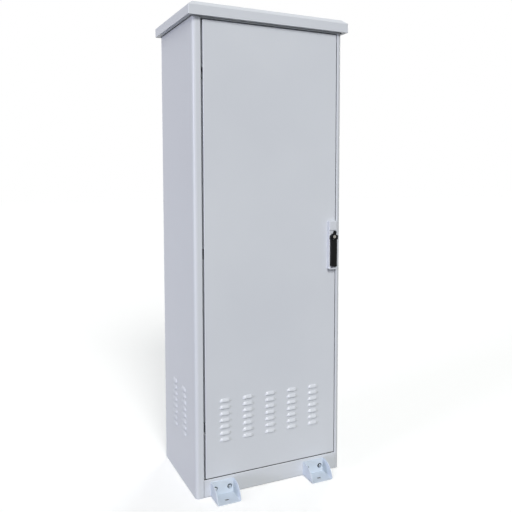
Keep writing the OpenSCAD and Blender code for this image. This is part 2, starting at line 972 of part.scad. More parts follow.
// Louvred door folded as a tray with lips, notched at the hinges
module door_skin() {
  rear = door_back - sheet;
  color(paint) difference() {
    union() {
      difference() {
        pressed_block([door_left, front_y, door_bottom], [door_right, door_back, door_top],
          door_edge, door_corner);
        pressed_block([door_left + sheet, door_inner, door_bottom + sheet],
          [door_right - sheet, rear, door_top - sheet], door_edge - sheet, door_corner - sheet);
        box([door_left + lip_hinge, rear - 1, door_bottom + lip_lock],
          [door_right - lip_lock, door_back + 1, door_top - lip_lock]);
      }
      at_door_louvres() louvre_hood(door_louvre);
    }
    at_door_louvres() louvre_slot(door_louvre);
    for (i = [0:2]) {
      at_hinge(i) box([-hinge_inset - 1, -hinge_inset + 4, -leaf_half - 2],
        [hinge_inset + 4, door_back - hinge_y + 1, leaf_half + 2]);
    }
    at_handle() pin_y(hub_shaft + 3, -1, sheet + 1);
    at_handle_screws() pin_y(2.8, -1, sheet + 1);
    rod_exit(1, door_top - 2 * sheet, door_top + 1);
    rod_exit(-1, door_bottom - 1, door_bottom + 2 * sheet);
  }
}

// Hole in the door's edge that a lock rod passes through
module rod_exit(side, from, to) {
  near = side * (rack_root - 0.6);
  far = side * (rack_root + rod_thick + 0.6);
  box([handle_x + min(near, far), front_y + rod_front - 0.6, from],
    [handle_x + max(near, far), front_y + rod_back + 0.6, to]);
}

// Foam seal on the door's lips
module door_gasket() {
  left = door_left + lip_hinge - 14;
  right = door_right - 5;
  low = door_bottom + 5;
  high = door_top - 5;
  color(rubber) along_y(door_back, landing_y - seam) difference() {
    rounded_rect([left, low], [right, high], 10);
    rounded_rect([left + gasket_width, low + gasket_width], [right - gasket_width, high - gasket_width], 2);
  }
}

// Hat-section stiffener on the door's inner face
module door_stiffener(x) {
  near = door_inner + mid;
  far = door_inner + stiffener_depth;
  web = stiffener_half;
  brim = stiffener_half + stiffener_brim;
  color(paint) along_z(door_louvre_z + 150, door_top - 45) translate([x, 0]) folded(
    [[-brim, near], [-web, near], [-web, far], [web, far], [web, near], [brim, near]],
    [0, fold, fold, fold, fold, 0]
  );
}

module door_stiffener_left() {
  door_stiffener(door_middle - door_column_pitch);
}

module door_stiffener_right() {
  door_stiffener(door_middle + door_column_pitch);
}

// Places children at the door's louvre field, on the door's inner face
module at_door_field() {
  translate([door_middle, door_inner, door_louvre_z]) children();
}

module door_filter() {
  at_door_field() filter_mat(filter_half);
}

module door_filter_frame() {
  at_door_field() filter_frame(filter_half);
}

// Places children at the lock's axis, on the door's face
module at_handle() {
  translate([handle_x, front_y, lock_z]) children();
}

module at_handle_screws() {
  for (z = screw_heights) {
    at_handle() translate([0, 0, z]) children();
  }
}

// Handle housing: shallow case with a raised cap, a lower ledge and the hub's bearing
module handle_housing() {
  half = housing_width / 2;
  wall = housing_wall;
  color(paint) difference() {
    union() {
      at_handle() difference() {
        union() {
          pressed_block([-half, -housing_rise, housing_bottom], [half, 0, housing_top], 3, 5);
          pressed_block([-half, -cap_rise, cap_bottom], [half, 0, housing_top], 4, 5);
          pressed_block([-half, -ledge_rise, housing_bottom],
            [half, 0, housing_bottom + ledge_height], 2, 4);
        }
        box([-half + wall, -housing_rise + wall, housing_bottom + wall],
          [half - wall, 1, housing_top - wall]);
      }
      at_handle() pin_y(hub_shaft + 4, -housing_rise + 1, 0);
      at_handle_screws() pin_y(6, -housing_rise + 1, 0);
    }
    at_handle() pin_y(hub_shaft + running_fit, -housing_rise - 1, 1);
    at_handle_screws() pin_y(2.5 + close_fit, -housing_rise + wall, 1);
  }
}

// Screws from inside the door into the housing
module handle_screws() {
  color(zinc) at_handle_screws() {
    pin_y(2.5, -12, sheet + 1);
    difference() {
      pin_y(4.5, sheet, sheet + 3);
      translate([0, sheet + 4, 0]) rotate([90, 0, 0]) cylinder(r = 2, h = 2.5, $fn = 6);
    }
  }
}

// Hub with a bearing shaft, lever trunnions and the square spindle behind it
module handle_hub() {
  color(black) at_handle() difference() {
    union() {
      pin_y(hub_radius, -hub_front, -housing_rise - 0.4);
      pin_y(hub_shaft, -housing_rise - 1, case_front + case_plate + 2 * seam);
      box([-spindle / 2, case_front + case_plate, -spindle / 2],
        [spindle / 2, case_back - 2 * seam, spindle / 2]);
      pin_y(journal, case_back - 1, case_back + case_plate + 2 * seam);
      translate([0, -pivot_rise, 0]) {
        pin_x(trunnion, -yoke_half + 1, -hub_radius + 1);
        pin_x(trunnion, hub_radius - 1, yoke_half - 1);
      }
    }
    pin_y(cylinder_radius + close_fit, -hub_front - 1, -9);
    translate([0, 0, cover_pivot]) pin_y(cover_pin + running_fit, -hub_front - 1, -hub_front + 9);
  }
}

// Lock cylinder that sits in the hub
module lock_cylinder() {
  color(zinc) at_handle() difference() {
    pin_y(cylinder_radius, -hub_front, -10);
    pin_y(plug_radius + running_fit, -hub_front - 1, -12);
  }
}

// Turning plug with its keyway
module lock_plug() {
  color(zinc) at_handle() difference() {
    pin_y(plug_radius, -hub_front, -13);
    box([-0.9, -hub_front - 1, -3.8], [0.9, -hub_front + 14, 3.8]);
  }
}

// Lever hollowed round the hub, with two ears on the hub's trunnions
module handle_lever() {
  back = -housing_rise - 0.8;
  front = -hub_front + 1;
  inner = hub_radius + 0.4;
  color(black) at_handle() difference() {
    union() {
      difference() {
        pressed_block([-lever_width / 2, front, -lever_length], [lever_width / 2, back, 0], 4, 5);
        pin_y(yoke_sweep, front - 1, back + 1);
      }
      for (side = [-1, 1]) {
        near = side < 0 ? -yoke_half : inner;
        box([near, -pivot_rise - ear_radius + 0.8, yoke_low], [near + yoke_half - inner, back, 0]);
        translate([0, -pivot_rise, 0]) pin_x(ear_radius, near, near + yoke_half - inner);
      }
    }
    translate([0, -pivot_rise, 0]) pin_x(trunnion + running_fit, -yoke_half - 1, yoke_half + 1);
  }
}

// Round dust cover with its pivot pin, swung up off the lock
module lock_dust_cover() {
  front = -hub_front - 3;
  back = -hub_front - 0.3;
  color(black) at_handle() {
    translate([0, 0, 2 * cover_pivot]) pin_y(cover_radius, front, back);
    translate([0, 0, cover_pivot]) {
      pin_y(3, front, back);
      pin_y(cover_pin, front + 1, -hub_front + 8);
    }
  }
}

function radians(angle) = angle * PI / 180;

function turned(p, angle) = [p[0] * cos(angle) - p[1] * sin(angle), p[0] * sin(angle) + p[1] * cos(angle)];

function mirrored(p) = [p[0], -p[1]];

// Point of the involute of the base circle, unwound by an angle
function involute(angle) = pitch_radius * cos(pressure) * turned([1, -radians(angle)], angle);

// Outline of the pinion with involute teeth, one of them on the first axis
module pinion_outline() {
  lean = tan(pressure) * 180 / PI - pressure;
  half_tooth = 90 / gear_teeth - backlash / radians(pitch_radius) + lean;
  root = turned([pitch_radius - 2, 0], -half_tooth);
  flank = [for (angle = [0:9:30]) turned(involute(angle), -half_tooth)];
  rising = concat([root], flank);
  last = len(rising) - 1;
  tooth = concat(rising, [for (j = [0:last]) mirrored(rising[last - j])]);
  polygon([
    for (i = [0:gear_teeth - 1], point = tooth) turned(point, i * 360 / gear_teeth)
  ]);
}

// Pinion on the hub's square spindle
module drive_pinion() {
  hole = spindle + 2 * running_fit;
  color(zinc) at_handle() along_y(rod_front + 0.5, rod_back - 0.5) difference() {
    pinion_outline();
    square(hole, center = true);
  }
}

// Flat rod whose end is a toothed rack, for the lock's right side, from one height to another
module lock_rod(from, to, rack_from, rack_to) {
  tip = rack_root - pitch_radius + 1.2;
  half_tip = tooth_pitch / 4 - backlash - 1.2 * tan(pressure);
  half_root = half_tip + tip * tan(pressure);
  back = rack_root + rod_thick;
  along_y(rod_front, rod_back) {
    polygon([
      [rack_root, from], [back, from], [back, to - 3], [back - 1.5, to],
      [rack_root + 1.5, to], [rack_root, to - 3]
    ]);
    for (z = [rack_from:tooth_pitch:rack_to]) {
      polygon([
        [rack_root + 0.5, z - half_root], [rack_root + 0.5, z + half_root], [rack_root, z + half_root],
        [rack_root - tip, z + half_tip], [rack_root - tip, z - half_tip], [rack_root, z - half_root]
      ]);
    }
  }
}

module upper_rod() {
  color(zinc) at_handle() lock_rod(rack_start - 3, door_top + rod_overshoot - lock_z, rack_start, rack_end);
}

module lower_rod() {
  color(zinc) at_handle() rotate([0, 180, 0])
    lock_rod(rack_start - 3, lock_z - door_bottom + rod_overshoot, rack_start, rack_end);
}

// Two plates and two pillars that carry the pinion inside the door
module lock_case() {
  color(zinc) at_handle() difference() {
    union() {
      for (y = [case_front, case_back]) {
        box([-case_half[0], y, -case_half[1]], [case_half[0], y + case_plate, case_half[1]]);
      }
      for (z = [-pillar_offset, pillar_offset]) {
        translate([0, 0, z]) pin_y(pillar, sheet, case_back + case_plate / 2);
      }
    }
    pin_y(hub_shaft + seam, case_front - 1, case_front + case_plate + 1);
    pin_y(journal + running_fit, case_back - 1, case_back + case_plate + 1);
  }
}

// Guides that the lock rods slide through
module rod_guides() {
  far = rack_root + rod_thick;
  color(black) at_handle() for (up = [0, 1], spot = guide_spots) {
    reach = up == 1 ? door_top - lock_z : lock_z - door_bottom;
    rotate([0, up == 1 ? 0 : 180, 0]) translate([0, 0, spot * reach]) difference() {
      union() {
        box([rack_root - guide_wall, sheet, -guide_half], [far - guide_wall, guide_back, guide_half]);
        box([rack_root, door_edge + seam, -guide_half], [far + guide_wall, guide_back, guide_half]);
      }
      box([rack_root - seam, rod_front - seam, -guide_half - 1],
        [far + seam, rod_back + seam, guide_half + 1]);
    }
  }
}

left_side_panel();
right_side_panel();
rear_panel();
rear_panel_screws();
base_pan();
gland_plate();
cable_grommets();
earth_stud();
top_pan();
front_header();
bottom_front_rail();
bottom_rear_rail();
roof_canopy();
roof_spacers();
roof_bolts();
rack_rail_front_left();
rack_rail_front_right();
rack_rail_rear_left();
rack_rail_rear_right();
rail_support_bottom_left();
rail_support_bottom_right();
rail_support_top_left();
rail_support_top_right();
rail_bolts();
anchor_foot_front_left();
anchor_foot_front_right();
anchor_foot_rear_left();
anchor_foot_rear_right();
anchor_bolts();
anchor_washers();
side_filter_left();
side_filter_right();
side_filter_frame_left();
side_filter_frame_right();
hinge_bracket_lower();
hinge_bracket_middle();
hinge_bracket_upper();
hinge_screws();
door_skin();
door_gasket();
door_stiffener_left();
door_stiffener_right();
door_filter();
door_filter_frame();
hinge_leaf_lower();
hinge_leaf_middle();
hinge_leaf_upper();
hinge_pins();
handle_housing();
handle_screws();
lock_case();
rod_guides();
handle_hub();
drive_pinion();
lock_cylinder();
lock_plug();
handle_lever();
lock_dust_cover();
upper_rod();
lower_rod();
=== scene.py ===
import json
import math

import bmesh
import bpy
from mathutils import Matrix, Vector


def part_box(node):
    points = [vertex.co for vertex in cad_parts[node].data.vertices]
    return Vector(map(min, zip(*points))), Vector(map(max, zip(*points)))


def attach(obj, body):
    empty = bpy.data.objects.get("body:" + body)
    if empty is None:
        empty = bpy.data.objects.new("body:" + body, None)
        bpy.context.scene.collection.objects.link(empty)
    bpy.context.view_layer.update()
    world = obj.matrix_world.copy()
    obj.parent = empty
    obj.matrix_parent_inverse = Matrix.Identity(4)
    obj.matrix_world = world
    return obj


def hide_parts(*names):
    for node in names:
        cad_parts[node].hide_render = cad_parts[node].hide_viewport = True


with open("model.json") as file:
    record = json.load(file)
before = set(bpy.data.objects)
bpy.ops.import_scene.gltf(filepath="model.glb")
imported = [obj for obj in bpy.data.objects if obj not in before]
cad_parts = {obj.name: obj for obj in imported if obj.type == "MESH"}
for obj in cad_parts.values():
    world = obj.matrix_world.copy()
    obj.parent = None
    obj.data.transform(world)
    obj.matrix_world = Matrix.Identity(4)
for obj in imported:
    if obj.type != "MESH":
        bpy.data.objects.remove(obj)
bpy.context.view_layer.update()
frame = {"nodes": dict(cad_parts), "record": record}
nodes = frame["nodes"]
print("frame loaded with", len(nodes), "nodes")


# shader helpers, all on Object coordinates in metres

def startMaterial(name):
    material = bpy.data.materials.new(name)
    material.use_nodes = True
    tree = material.node_tree
    where = tree.nodes.new("ShaderNodeTexCoord").outputs["Object"]
    return material, tree, tree.nodes["Principled BSDF"], where


def stretched(tree, where, scale):
    mapping = tree.nodes.new("ShaderNodeMapping")
    mapping.inputs["Scale"].default_value = scale
    tree.links.new(where, mapping.inputs["Vector"])
    return mapping.outputs["Vector"]


def noiseField(tree, where, scale, detail, roughness=0.5):
    noise = tree.nodes.new("ShaderNodeTexNoise")
    noise.inputs["Scale"].default_value = scale
    noise.inputs["Detail"].default_value = detail
    noise.inputs["Roughness"].default_value = roughness
    tree.links.new(where, noise.inputs["Vector"])
    return noise.outputs["Fac"]


def cellShade(tree, where, scale):  # one random shade for each cell
    cells = tree.nodes.new("ShaderNodeTexVoronoi")
    cells.inputs["Scale"].default_value = scale
    split = tree.nodes.new("ShaderNodeSeparateColor")
    tree.links.new(where, cells.inputs["Vector"])
    tree.links.new(cells.outputs["Color"], split.inputs["Color"])
    return split.outputs["Red"]


def computed(tree, operation, *values):  # each value is a socket or a number
    step = tree.nodes.new("ShaderNodeMath")
    step.operation = operation
    for socket, value in zip(step.inputs, values):
        if isinstance(value, bpy.types.NodeSocket):
            tree.links.new(value, socket)
        else:
            socket.default_value = value
    return step.outputs["Value"]


def mapped(tree, value, low, high, fromLow=0.3, fromHigh=0.7):  # noise stays mostly between these two
    spread = tree.nodes.new("ShaderNodeMapRange")
    spread.inputs["From Min"].default_value = fromLow
    spread.inputs["From Max"].default_value = fromHigh
    spread.inputs["To Min"].default_value = low
    spread.inputs["To Max"].default_value = high
    tree.links.new(value, spread.inputs["Value"])
    return spread.outputs["Result"]


def blended(tree, factor, first, second):
    mix = tree.nodes.new("ShaderNodeMix")
    mix.data_type = "RGBA"
    mix.inputs["A"].default_value = (*first, 1)
    mix.inputs["B"].default_value = (*second, 1)
    tree.links.new(factor, mix.inputs["Factor"])
    return mix.outputs["Result"]


def tinted(tree, shader, factor, look):
    colour = blended(tree, factor, look["dark"], look["light"])
    tree.links.new(colour, shader.inputs["Base Color"])
    return colour


def roughened(tree, shader, value, look, *span):
    tree.links.new(mapped(tree, value, *look["rough"], *span), shader.inputs["Roughness"])


def bumped(tree, shader, height, look):
    bump = tree.nodes.new("ShaderNodeBump")
    bump.inputs["Strength"].default_value = look["bump"]
    bump.inputs["Distance"].default_value = look["depth"]
    tree.links.new(height, bump.inputs["Height"])
    tree.links.new(bump.outputs["Normal"], shader.inputs["Normal"])


def linear(red, green, blue):  # from sRGB values of 0 to 255
    def channel(value):
        value /= 255
        return value / 12.92 if value <= 0.04045 else ((value + 0.055) / 1.055) ** 2.4
    return channel(red), channel(green), channel(blue)


# finishes: patch, peel, wave, grain and clump are each a noise's scale and detail

coatLook = {
    "light": linear(206, 210, 216), "dark": linear(200, 204, 211), "rough": (0.33, 0.41),
    "patch": (1.7, 3), "peel": (420, 1.5), "wave": (5.5, 1), "waveShare": 6,
    "bump": 0.35, "depth": 0.00012,
}
# the rail's coat has a seam of painted shade in the rebate under the door's bottom edge
railLook = {
    **coatLook, "seam": {"middle": -0.2428, "half": 0.0042, "fade": 0.0015, "grime": 0.12},
}
footLook = {
    "light": linear(209, 218, 229), "dark": linear(199, 209, 221), "rough": (0.42, 0.55),
    "patch": (14, 3), "peel": (600, 1.5), "wave": (30, 1), "waveShare": 6,
    "bump": 0.4, "depth": 0.0001,
}


def paintedGapShade(tree, where, colour, seam):  # painted shade: darkens the coat in the rebate under the door's bottom edge, where the gap lies in shadow
    place = tree.nodes.new("ShaderNodeSeparateXYZ")
    tree.links.new(where, place.inputs["Vector"])
    offset = computed(tree, "SUBTRACT", place.outputs["Y"], seam["middle"])
    away = computed(tree, "ABSOLUTE", offset)
    clear = mapped(tree, away, seam["grime"], 1, seam["half"], seam["half"] + seam["fade"])
    dim = tree.nodes.new("ShaderNodeVectorMath")
    dim.operation = "SCALE"
    tree.links.new(colour, dim.inputs["Vector"])
    tree.links.new(clear, dim.inputs["Scale"])
    return dim.outputs["Vector"]


def makeCoat(name, look):
    material, tree, shader, where = startMaterial(name)
    patches = noiseField(tree, where, *look["patch"])
    peel = noiseField(tree, where, *look["peel"])
    wave = noiseField(tree, where, *look["wave"])
    colour = tinted(tree, shader, mapped(tree, patches, 0, 1), look)
    # painted shade along the seam, where the look has one
    if "seam" in look:
        tree.links.new(paintedGapShade(tree, where, colour, look["seam"]), shader.inputs["Base Color"])
    roughened(tree, shader, patches, look)
    bumped(tree, shader, computed(tree, "MULTIPLY_ADD", wave, look["waveShare"], peel), look)
    return material


zincLook = {
    "light": linear(205, 207, 209), "dark": linear(168, 171, 175), "rough": (0.32, 0.5),
    "spangle": 90, "spangleShare": 0.5, "scratch": (260, 260, 40), "detail": 2, "span": (0.4, 1.1),
    "bump": 0.25, "depth": 0.00008,
}
boltLook = {**zincLook, "light": linear(222, 226, 229), "dark": linear(176, 182, 188)}
washerLook = {**zincLook, "light": linear(104, 112, 118), "dark": linear(70, 77, 83)}
hingeLook = {**zincLook, "light": linear(172, 177, 182), "dark": linear(138, 144, 149)}


def makeZinc(name, look):
    material, tree, shader, where = startMaterial(name)
    spangle = cellShade(tree, where, look["spangle"])
    grain = noiseField(tree, stretched(tree, where, look["scratch"]), 1, look["detail"])
    shade = computed(tree, "MULTIPLY_ADD", spangle, look["spangleShare"], grain)
    tinted(tree, shader, mapped(tree, shade, 0, 1, *look["span"]), look)
    roughened(tree, shader, shade, look, *look["span"])
    shader.inputs["Metallic"].default_value = 1
    bumped(tree, shader, grain, look)
    return material


mouldedLook = {
    "light": linear(20, 21, 21), "dark": linear(13, 14, 14), "rough": (0.36, 0.5), "gloss": 0.1,
    "grain": (900, 2), "patch": (40, 2), "bump": 0.3, "depth": 0.0001,
}
rubberLook = {
    "light": linear(50, 50, 52), "dark": linear(36, 36, 38), "rough": (0.75, 0.9), "gloss": 0.3,
    "grain": (700, 2), "patch": (25, 2), "bump": 0.5, "depth": 0.0003,
}


def makeMoulded(name, look):
    material, tree, shader, where = startMaterial(name)
    grain = noiseField(tree, where, *look["grain"])
    patch = noiseField(tree, where, *look["patch"])
    tinted(tree, shader, mapped(tree, patch, 0, 1), look)
    roughened(tree, shader, grain, look)
    shader.inputs["Specular IOR Level"].default_value = look["gloss"]
    bumped(tree, shader, grain, look)
    return material


lockLook = {
    "light": linear(188, 185, 177), "dark": linear(142, 140, 134), "rough": (0.18, 0.34),
    "rings": 130, "wobble": 1.5, "bump": 0.2, "depth": 0.00004,
}


def makeLockMetal(name, look, centre):
    material, tree, shader, where = startMaterial(name)
    mapping = tree.nodes.new("ShaderNodeMapping")  # the turning marks run round the lock's axis
    mapping.inputs["Location"].default_value = [-part for part in centre]
    tree.links.new(where, mapping.inputs["Vector"])
    wave = tree.nodes.new("ShaderNodeTexWave")
    wave.wave_type = "RINGS"
    wave.rings_direction = "Y"
    wave.inputs["Scale"].default_value = look["rings"]
    wave.inputs["Distortion"].default_value = look["wobble"]
    tree.links.new(mapping.outputs["Vector"], wave.inputs["Vector"])
    marks = wave.outputs["Fac"]
    tinted(tree, shader, marks, look)
    roughened(tree, shader, marks, look, 0, 1)
    shader.inputs["Metallic"].default_value = 1
    bumped(tree, shader, marks, look)
    return material


feltLook = {
    "light": linear(228, 229, 222), "dark": linear(196, 198, 192), "rough": 0.95, "sheen": 0.3,
    "fibre": (1400, 300, 300), "detail": 3, "clump": (120, 4), "clumpShare": 0.8, "ragged": 0.7,
    "span": (0.6, 1.2), "bump": 0.8, "depth": 0.0012,
}


def makeFelt(name, look):
    material, tree, shader, where = startMaterial(name)
    lengthwise = stretched(tree, where, look["fibre"])
    fibre = noiseField(tree, lengthwise, 1, look["detail"], look["ragged"])
    clump = noiseField(tree, where, *look["clump"], look["ragged"])
    both = computed(tree, "MULTIPLY_ADD", clump, look["clumpShare"], fibre)
    tinted(tree, shader, mapped(tree, both, 0, 1, *look["span"]), look)
    shader.inputs["Roughness"].default_value = look["rough"]
    shader.inputs["Sheen Weight"].default_value = look["sheen"]
    bumped(tree, shader, both, look)
    return material


lockLow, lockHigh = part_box("lock_plug")
lockCentre = (Vector(lockLow) + Vector(lockHigh)) / 2
coat = makeCoat("powderCoat", coatLook)
railCoat = makeCoat("railCoat", railLook)
footCoat = makeCoat("footCoat", footLook)
zinc = makeZinc("zincSteel", zincLook)
boltSteel = makeZinc("boltSteel", boltLook)
washerSteel = makeZinc("washerSteel", washerLook)
hingeSteel = makeZinc("hingeSteel", hingeLook)
moulded = makeMoulded("mouldedBlack", mouldedLook)
rubber = makeMoulded("sealRubber", rubberLook)
lockMetal = makeLockMetal("lockNickel", lockLook, lockCentre)
felt = makeFelt("filterFelt", feltLook)
finishOfSlot = {
    "powder_coat": coat, "foot_coating": footCoat, "zinc_steel": zinc, "black_plastic": moulded,
    "black_metal": moulded, "lock_metal": lockMetal, "black_rubber": rubber, "filter_felt": felt,
}
slotOfNode = {part["node"]: part["material_slot"] for part in frame["record"]["subparts"]}
bodyOfNode = {}
for body, names in frame["record"]["behaviour"]["bodies"].items():
    for name in names:
        bodyOfNode[name] = body
finishOfNode = {name: finishOfSlot[slot] for name, slot in slotOfNode.items()}
finishOfNode["anchor_washers"] = washerSteel
finishOfNode["bottom_front_rail"] = railCoat
for name in nodes:
    if name.startswith("hinge_"):
        finishOfNode[name] = hingeSteel
for name, thing in nodes.items():
    thing.data.materials.clear()
    thing.data.materials.append(finishOfNode[name])
print("finishes set on", len(nodes), "nodes")


# mesh helpers

def fillRims(shape):
    bmesh.ops.holes_fill(shape, edges=[edge for edge in shape.edges if edge.is_boundary])


def shadeSmooth(data, sharp):
    for face in data.polygons:
        face.use_smooth = True
    data.set_sharp_from_angle(angle=math.radians(sharp))


def shapeMesh(name, shape, look):
    bmesh.ops.remove_doubles(shape, verts=shape.verts, dist=look["weld"])
    fillRims(shape)
    bmesh.ops.recalc_face_normals(shape, faces=shape.faces)
    data = bpy.data.meshes.new(name)
    shape.to_mesh(data)
    shape.free()
    shadeSmooth(data, look["sharp"])
    return data


def plainMesh(thing):  # what the modifiers make becomes the thing's own mesh
    view = bpy.context.evaluated_depsgraph_get()
    view.update()
    data = bpy.data.meshes.new_from_object(thing.evaluated_get(view))
    thing.modifiers.clear()
    thing.data = data
    return data


# one shape set out on points, each turned by the point's own facing

def addSocket(tree, name, kind, way="INPUT"):
    return tree.interface.new_socket(name, in_out=way, socket_type=kind)


def spreadTree():
    tree = bpy.data.node_groups.new("spreadOnPoints", "GeometryNodeTree")
    addSocket(tree, "Geometry", "NodeSocketGeometry")
    shapeIn = addSocket(tree, "Shape", "NodeSocketObject")
    finishIn = addSocket(tree, "Finish", "NodeSocketMaterial")
    addSocket(tree, "Geometry", "NodeSocketGeometry", "OUTPUT")
    start = tree.nodes.new("NodeGroupInput")
    end = tree.nodes.new("NodeGroupOutput")
    source = tree.nodes.new("GeometryNodeObjectInfo")
    facing = tree.nodes.new("GeometryNodeInputNamedAttribute")
    facing.data_type = "FLOAT_VECTOR"
    facing.inputs["Name"].default_value = "facing"
    turn = tree.nodes.new("FunctionNodeEulerToRotation")
    place = tree.nodes.new("GeometryNodeInstanceOnPoints")
    real = tree.nodes.new("GeometryNodeRealizeInstances")
    cover = tree.nodes.new("GeometryNodeSetMaterial")
    tree.links.new(start.outputs["Geometry"], place.inputs["Points"])
    tree.links.new(start.outputs["Shape"], source.inputs["Object"])
    tree.links.new(source.outputs["Geometry"], place.inputs["Instance"])
    tree.links.new(facing.outputs["Attribute"], turn.inputs["Euler"])
    tree.links.new(turn.outputs["Rotation"], place.inputs["Rotation"])
    tree.links.new(place.outputs["Instances"], real.inputs["Geometry"])
    tree.links.new(real.outputs["Geometry"], cover.inputs["Geometry"])
    tree.links.new(start.outputs["Finish"], cover.inputs["Material"])
    tree.links.new(cover.outputs["Geometry"], end.inputs["Geometry"])
    return tree, shapeIn.identifier, finishIn.identifier


spread, shapeSocket, finishSocket = spreadTree()


def spreadPiece(name, shapeData, spots, finish, body):
    shape = bpy.data.objects.new(name + "Shape", shapeData)
    bpy.context.scene.collection.objects.link(shape)
    points = bpy.data.meshes.new(name)
    points.from_pydata([place for place, facing in spots], [], [])
    facings = points.attributes.new("facing", "FLOAT_VECTOR", "POINT")
    for k, (place, facing) in enumerate(spots):
        facings.data[k].vector = facing
    piece = bpy.data.objects.new(name, points)
    bpy.context.scene.collection.objects.link(piece)
    layout = piece.modifiers.new("spread", "NODES")
    layout.node_group = spread
    layout[shapeSocket] = shape
    layout[finishSocket] = finish
    plainMesh(piece)
    bpy.data.objects.remove(shape)
    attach(piece, body)
    return piece


# louvres: one pressed hood with a soft root, set out in rows on the door and the sides

hoodLook = {
    "height": 0.014, "rise": 0.0065, "sheet": 0.0015, "root": 0.0022, "lift": 0.00003,
    "rings": 12, "blend": 5, "arc": 10, "weld": 0.00001, "sharp": 50,
    "margin": 0.001, "proud": 0.0002, "level": 0.0001,  # bounds of a plain hood's faces on the sheet
}
sideRows = {"length": 0.066, "count": (2, 8), "pitch": (0.143, 0.029)}
louvreRows = {
    "door_skin": {
        "length": 0.05, "count": (5, 7), "pitch": (0.107, 0.029),
        "middle": (-0.004, -0.25, 0.333), "turn": 0,
    },
    "left_side_panel": {**sideRows, "middle": (-0.35, -0.007, 0.34), "turn": -math.pi / 2},
    "right_side_panel": {**sideRows, "middle": (0.35, -0.007, 0.34), "turn": math.pi / 2},
}


def hoodSpots(rows):
    columns, lines = rows["count"]
    across, upward = rows["pitch"]
    turn = Matrix.Rotation(rows["turn"], 4, "Z")
    spots = []
    for i in range(columns):
        for j in range(lines):
            step = Vector(((i - (columns - 1) / 2) * across, 0, (j - (lines - 1) / 2) * upward))
            spots.append(Vector(rows["middle"]) + turn @ step)
    return spots


def hoodSkin(shape, look, length, profile, flip):
    straight = length / 2 - look["height"]
    rows = []
    for distance, height in profile:
        row = []
        for side, start in ((1, 0), (-1, math.pi / 2)):  # a quarter round at each end of the hood
            for k in range(look["arc"] + 1):
                angle = start + k / look["arc"] * math.pi / 2
                x = side * straight + distance * math.cos(angle)
                z = distance * math.sin(angle) - look["height"] / 2
                row.append(shape.verts.new((x, -height, z)))
        rows.append(row)
    for first, second in zip(rows, rows[1:]):
        for k in range(len(first) - 1):
            ring = [first[k], first[k + 1], second[k + 1], second[k]]
            shape.faces.new(ring[::-1] if flip else ring)
    return rows


def hoodMesh(look, length):
    depth = (look["height"] ** 2 - look["rise"] ** 2) / (2 * look["rise"])  # of the round's centre
    radius = depth + look["rise"]
    within = radius - look["sheet"]
    reach = math.sqrt(within ** 2 - depth ** 2)
    inner, outer = look["height"] - look["root"], look["height"] + look["root"]

    def roundHeight(ball, distance):
        return math.sqrt(ball ** 2 - distance ** 2) - depth

    start = roundHeight(radius, inner)
    slope = -inner / (start + depth)
    profile = []
    for k in range(look["blend"]):  # root blend from the flat sheet to the hood
        part = k / look["blend"]
        climb = part * part * (3 - 2 * part) * start
        lean = (part ** 3 - part ** 2) * slope * (inner - outer)
        profile.append((outer + (inner - outer) * part, look["lift"] + climb + lean))
    quarter = [math.cos(k / look["rings"] * math.pi / 2) for k in range(look["rings"] + 1)]
    profile += [(inner * part, look["lift"] + roundHeight(radius, inner * part)) for part in quarter]
    lining = [(reach * part, roundHeight(within, reach * part)) for part in quarter]
    shape = bmesh.new()
    lip = []
    for line, flip in ((profile, False), (lining, True)):
        rows = hoodSkin(shape, look, length, line, flip)
        rim = [row[0] for row in rows] + [row[-1] for row in rows[::-1]]
        for ends in zip(rim, rim[1:]):
            lip.append(shape.edges.get(ends) or shape.edges.new(ends))
    bmesh.ops.bridge_loops(shape, edges=lip)
    return shapeMesh("louvreHood", shape, look)


for nodeName, rows in louvreRows.items():
    pieceName = nodeName.split("_")[0] + "Louvres"
    spots = [(spot, (0, 0, rows["turn"])) for spot in hoodSpots(rows)]
    hood = hoodMesh(hoodLook, rows["length"])
    spreadPiece(pieceName, hood, spots, coat, bodyOfNode[nodeName])
print("louvres set out:", sum(math.prod(rows["count"]) for rows in louvreRows.values()))


# fasteners: chamfered hex bolts on the feet, button heads on the rear panel

def ringOf(shape, radii, heights):
    ring = []
    for k, (radius, height) in enumerate(zip(radii, heights)):
        angle = 2 * math.pi * k / len(radii)
        ring.append(shape.verts.new((radius * math.cos(angle), radius * math.sin(angle), height)))
    return ring


def evenRing(shape, radius, height, sides):
    return ringOf(shape, [radius] * sides, [height] * sides)


def closedRings(shape, rings):
    for low, high in zip(rings, rings[1:]):
        for k in range(len(low)):
            after = (k + 1) % len(low)
            shape.faces.new((low[k], low[after], high[after], high[k]))
    shape.faces.new(rings[0][::-1])
    shape.faces.new(rings[-1])


def hexRadii(flats, sides):  # from the axis to the hexagon, all the way round
    sixth = math.pi / 3
    return [flats / 2 / math.cos((2 * math.pi * k / sides) % sixth - sixth / 2) for k in range(sides)]


footBoltLook = {
    "flats": 0.013, "head": 0.0053, "shank": 0.004, "grip": 0.0061, "nut": 0.0065, "tail": 0.0015,
    "turned": 0.94, "slope": 30, "hexSides": 72,  # chamfer on heads and nuts
    "tip": 0.8, "tipLength": 0.0007, "overlap": 0.0005, "sides": 32, "weld": 0.000001, "sharp": 25,
    "feet": (-0.233, 0.213), "span": 0.066, "height": 0.032, "face": 0.2546,
}


def hexBlock(shape, look, low, high):
    sides = look["hexSides"]
    corners = hexRadii(look["flats"], sides)
    turned = look["flats"] / 2 * look["turned"]
    fall = [(radius - turned) * math.tan(math.radians(look["slope"])) for radius in corners]
    closedRings(shape, [
        evenRing(shape, turned, low, sides),
        ringOf(shape, corners, [low + drop for drop in fall]),
        ringOf(shape, corners, [high - drop for drop in fall]),
        evenRing(shape, turned, high, sides),
    ])


